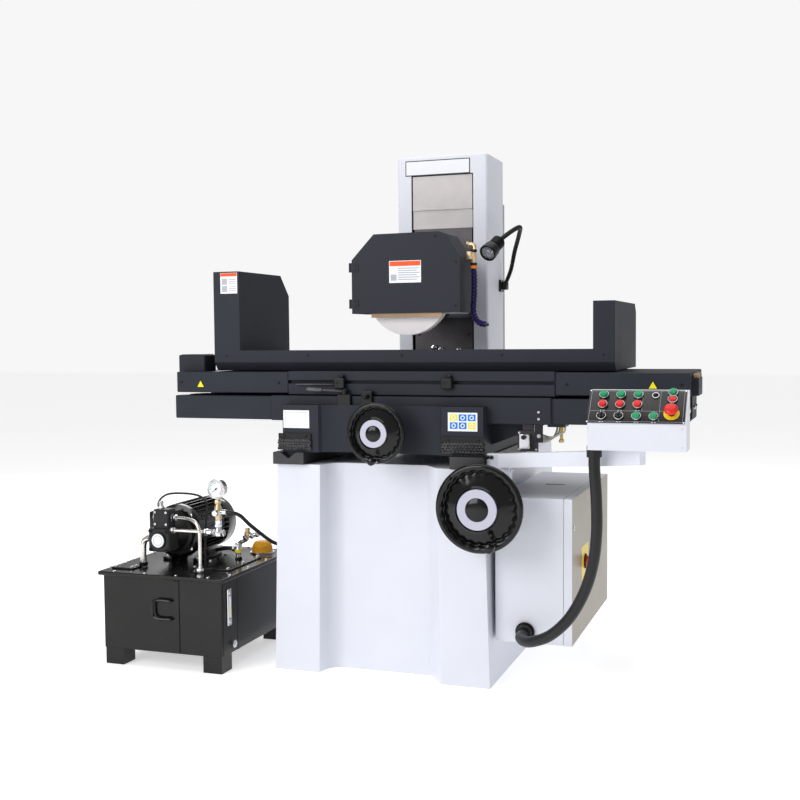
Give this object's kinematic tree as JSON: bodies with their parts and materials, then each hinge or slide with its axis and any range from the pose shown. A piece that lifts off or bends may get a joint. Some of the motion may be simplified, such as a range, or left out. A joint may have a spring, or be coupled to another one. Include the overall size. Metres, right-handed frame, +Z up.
{
  "type": "surface grinder",
  "caption": "Column surface grinder with a guarded wheel on a rising head, a long table with a splash guard, two handwheels, a pendant control box and a hydraulic power unit.",
  "frame": {"origin": "on the floor, in the middle of the base casting's underside", "axes": "+X to the operator's right along the table, +Y away from the operator, +Z up"},
  "size_m": [2.113, 1.3582, 1.908],
  "materials": {
    "paint_white": "smooth gloss enamel",
    "paint_grey": "matt enamel",
    "paint_dark": "satin enamel",
    "cast_iron": "ground",
    "steel": "ground and plated",
    "stainless": "brushed",
    "abrasive": "dressed vitrified grit",
    "brass": "bare",
    "black_gloss": "gloss",
    "rubber": "matt",
    "beige": "satin enamel",
    "red": "gloss",
    "green": "gloss",
    "yellow": "satin"
  },
  "bodies": {
    "machine_frame": {"base_casting": "paint_white", "cross_way_left": "cast_iron", "cross_way_right": "cast_iron", "column": "paint_white", "column_rear_cover": "paint_grey", "way_cover_top": "stainless", "electrical_cabinet": "paint_white", "control_arm": "paint_white", "control_box": "paint_white", "control_panel": "black_gloss", "conduit_hose": "rubber", "conduit_gland": "rubber", "lamp_arm": "black_gloss", "elevating_gearbox": "paint_white", "hydraulic_tank": "black_gloss", "tank_lid": "black_gloss", "hydraulic_motor": "black_gloss", "hydraulic_pump": "black_gloss", "pressure_pipe": "steel", "pressure_gauge": "steel", "hydraulic_hose": "rubber"},
    "saddle_body": {"saddle": "paint_dark", "hydraulic_cylinder": "steel"},
    "cross_handwheel_body": {"cross_handwheel": "black_gloss", "cross_screw": "steel"},
    "table_body": {"table": "paint_dark", "splash_guard": "paint_dark", "table_wing_left": "paint_dark", "table_wing_right": "paint_dark"},
    "head_body": {"wheelhead": "paint_dark", "wheel_guard": "paint_dark", "coolant_line": "brass"},
    "spindle_body": {"spindle": "steel", "grinding_wheel": "abrasive"},
    "cross_handle_body": {"cross_handle": "black_gloss"},
    "reverse_lever_body": {"reverse_lever": "black_gloss"},
    "trip_dog_left_body": {"trip_dog_left": "black_gloss"},
    "trip_dog_right_body": {"trip_dog_right": "black_gloss"},
    "wheel_guard_door_body": {"wheel_guard_door": "paint_dark"},
    "way_cover_middle_body": {"way_cover_middle": "stainless"},
    "elevating_screw_body": {"elevating_screw": "steel"},
    "elevating_handwheel_body": {"elevating_handwheel": "black_gloss"},
    "elevating_handle_body": {"elevating_handle": "black_gloss"},
    "cabinet_door_body": {"cabinet_door": "beige"},
    "main_switch_body": {"main_switch": "red"},
    "lamp_head_body": {"lamp_head": "black_gloss"},
    "filler_cap_body": {"filler_cap": "yellow"},
    "start_button_1_body": {"start_button_1": "green"},
    "start_button_2_body": {"start_button_2": "green"},
    "start_button_3_body": {"start_button_3": "green"},
    "stop_button_1_body": {"stop_button_1": "red"},
    "stop_button_2_body": {"stop_button_2": "red"},
    "stop_button_3_body": {"stop_button_3": "red"},
    "jog_button_1_body": {"jog_button_1": "green"},
    "jog_button_2_body": {"jog_button_2": "green"},
    "hydraulics_start_button_body": {"hydraulics_start_button": "green"},
    "hydraulics_stop_button_body": {"hydraulics_stop_button": "red"},
    "emergency_stop_body": {"emergency_stop": "red"},
    "selector_switch_1_body": {"selector_switch_1": "black_gloss"},
    "selector_switch_2_body": {"selector_switch_2": "black_gloss"}
  },
  "joints": [
    {"name": "cross_slide", "type": "slide", "parent": "machine_frame", "child": "saddle_body", "axis": [0, 1, 0], "range_m": [-0.18, 0.14]},
    {"name": "table_slide", "type": "slide", "parent": "saddle_body", "child": "table_body", "axis": [1, 0, 0], "range_m": [-0.33, 0.33]},
    {"name": "trip_dog_left_slide", "type": "slide", "parent": "table_body", "child": "trip_dog_left_body", "axis": [1, 0, 0], "range_m": [-0.17, 0.14]},
    {"name": "trip_dog_right_slide", "type": "slide", "parent": "table_body", "child": "trip_dog_right_body", "axis": [1, 0, 0], "range_m": [-0.14, 0.3]},
    {"name": "reverse_lever_swing", "type": "hinge", "parent": "saddle_body", "child": "reverse_lever_body", "pos_m": [-0.135, -0.507, 1.002], "axis": [0, 0, 1], "range_deg": [0, 25]},
    {"name": "cross_handwheel_turn", "type": "hinge", "parent": "saddle_body", "child": "cross_handwheel_body", "pos_m": [0.02, -0.6, 0.866], "axis": [0, 1, 0], "range_deg": [-12970, 10090]},
    {"name": "cross_handle_spin", "type": "hinge", "parent": "cross_handwheel_body", "child": "cross_handle_body", "pos_m": [0.02319, -0.6297, 0.77466], "axis": [0, 1, 0], "continuous": true},
    {"name": "head_slide", "type": "slide", "parent": "machine_frame", "child": "head_body", "axis": [0, 0, 1], "range_m": [-0.0901, 0.1601]},
    {"name": "spindle_spin", "type": "hinge", "parent": "head_body", "child": "spindle_body", "pos_m": [0.03, -0.28, 1.352], "axis": [0, 1, 0], "continuous": true},
    {"name": "wheel_guard_door_hinge", "type": "hinge", "parent": "head_body", "child": "wheel_guard_door_body", "pos_m": [-0.178, -0.338, 1.42], "axis": [0, 0, 1], "range_deg": [-110, 0]},
    {"name": "way_cover_slide", "type": "slide", "parent": "machine_frame", "child": "way_cover_middle_body", "axis": [0, 0, 1], "range_m": [-0.0451, 0.0801]},
    {"name": "elevating_screw_turn", "type": "hinge", "parent": "machine_frame", "child": "elevating_screw_body", "pos_m": [0.03, 0.25, 0.81], "axis": [0, 0, 1], "continuous": true},
    {"name": "elevating_handwheel_turn", "type": "hinge", "parent": "machine_frame", "child": "elevating_handwheel_body", "pos_m": [0.397, -0.65, 0.632], "axis": [0, 1, 0], "range_deg": [-11520, 6480]},
    {"name": "elevating_handle_spin", "type": "hinge", "parent": "elevating_handwheel_body", "child": "elevating_handle_body", "pos_m": [0.44507, -0.6867, 0.51302], "axis": [0, 1, 0], "continuous": true},
    {"name": "cabinet_door_hinge", "type": "hinge", "parent": "machine_frame", "child": "cabinet_door_body", "pos_m": [0.644, 0.236, 0.155], "axis": [0, 0, 1], "range_deg": [0, 110]},
    {"name": "main_switch_turn", "type": "hinge", "parent": "cabinet_door_body", "child": "main_switch_body", "pos_m": [0.6703, -0.265, 0.4], "axis": [1, 0, 0], "range_deg": [0, 90]},
    {"name": "lamp_head_tilt", "type": "hinge", "parent": "machine_frame", "child": "lamp_head_body", "pos_m": [0.3105, -0.0345, 1.5535], "axis": [0.943, -0.3328, 0], "range_deg": [-30, 30]},
    {"name": "filler_cap_turn", "type": "hinge", "parent": "machine_frame", "child": "filler_cap_body", "pos_m": [-0.62, -0.2, 0.3453], "axis": [0, 0, 1], "continuous": true},
    {"name": "start_button_1_push", "type": "slide", "parent": "machine_frame", "child": "start_button_1_body", "axis": [0, 0.7433, -0.669], "range_m": [0, 0.004], "stiffness_N_per_m": 800},
    {"name": "start_button_2_push", "type": "slide", "parent": "machine_frame", "child": "start_button_2_body", "axis": [0, 0.7433, -0.669], "range_m": [0, 0.004], "stiffness_N_per_m": 800},
    {"name": "start_button_3_push", "type": "slide", "parent": "machine_frame", "child": "start_button_3_body", "axis": [0, 0.7433, -0.669], "range_m": [0, 0.004], "stiffness_N_per_m": 800},
    {"name": "stop_button_1_push", "type": "slide", "parent": "machine_frame", "child": "stop_button_1_body", "axis": [0, 0.7433, -0.669], "range_m": [0, 0.004], "stiffness_N_per_m": 800},
    {"name": "stop_button_2_push", "type": "slide", "parent": "machine_frame", "child": "stop_button_2_body", "axis": [0, 0.7433, -0.669], "range_m": [0, 0.004], "stiffness_N_per_m": 800},
    {"name": "stop_button_3_push", "type": "slide", "parent": "machine_frame", "child": "stop_button_3_body", "axis": [0, 0.7433, -0.669], "range_m": [0, 0.004], "stiffness_N_per_m": 800},
    {"name": "jog_button_1_push", "type": "slide", "parent": "machine_frame", "child": "jog_button_1_body", "axis": [0, 0.7433, -0.669], "range_m": [0, 0.004], "stiffness_N_per_m": 800},
    {"name": "jog_button_2_push", "type": "slide", "parent": "machine_frame", "child": "jog_button_2_body", "axis": [0, 0.7433, -0.669], "range_m": [0, 0.004], "stiffness_N_per_m": 800},
    {"name": "hydraulics_start_button_push", "type": "slide", "parent": "machine_frame", "child": "hydraulics_start_button_body", "axis": [0, 0.7433, -0.669], "range_m": [0, 0.004], "stiffness_N_per_m": 800},
    {"name": "hydraulics_stop_button_push", "type": "slide", "parent": "machine_frame", "child": "hydraulics_stop_button_body", "axis": [0, 0.7433, -0.669], "range_m": [0, 0.004], "stiffness_N_per_m": 800},
    {"name": "emergency_stop_push", "type": "slide", "parent": "machine_frame", "child": "emergency_stop_body", "axis": [0, 0.7433, -0.669], "range_m": [0, 0.004], "stiffness_N_per_m": 800},
    {"name": "selector_switch_1_turn", "type": "hinge", "parent": "machine_frame", "child": "selector_switch_1_body", "pos_m": [0.812, -0.78528, 0.94808], "axis": [0, -0.7433, 0.669], "range_deg": [-45, 45]},
    {"name": "selector_switch_2_turn", "type": "hinge", "parent": "machine_frame", "child": "selector_switch_2_body", "pos_m": [0.864, -0.78528, 0.94808], "axis": [0, -0.7433, 0.669], "range_deg": [-45, 45]}
  ],
  "couplings": [
    {"joint": "cross_handwheel_turn", "follows": "cross_slide", "rad_per_m": 1256.8},
    {"joint": "head_slide", "follows": "elevating_handwheel_turn", "m_per_rad": -0.0007957},
    {"joint": "way_cover_slide", "follows": "elevating_handwheel_turn", "m_per_rad": -0.00039785},
    {"joint": "elevating_screw_turn", "follows": "elevating_handwheel_turn", "ratio": 0.5}
  ]
}
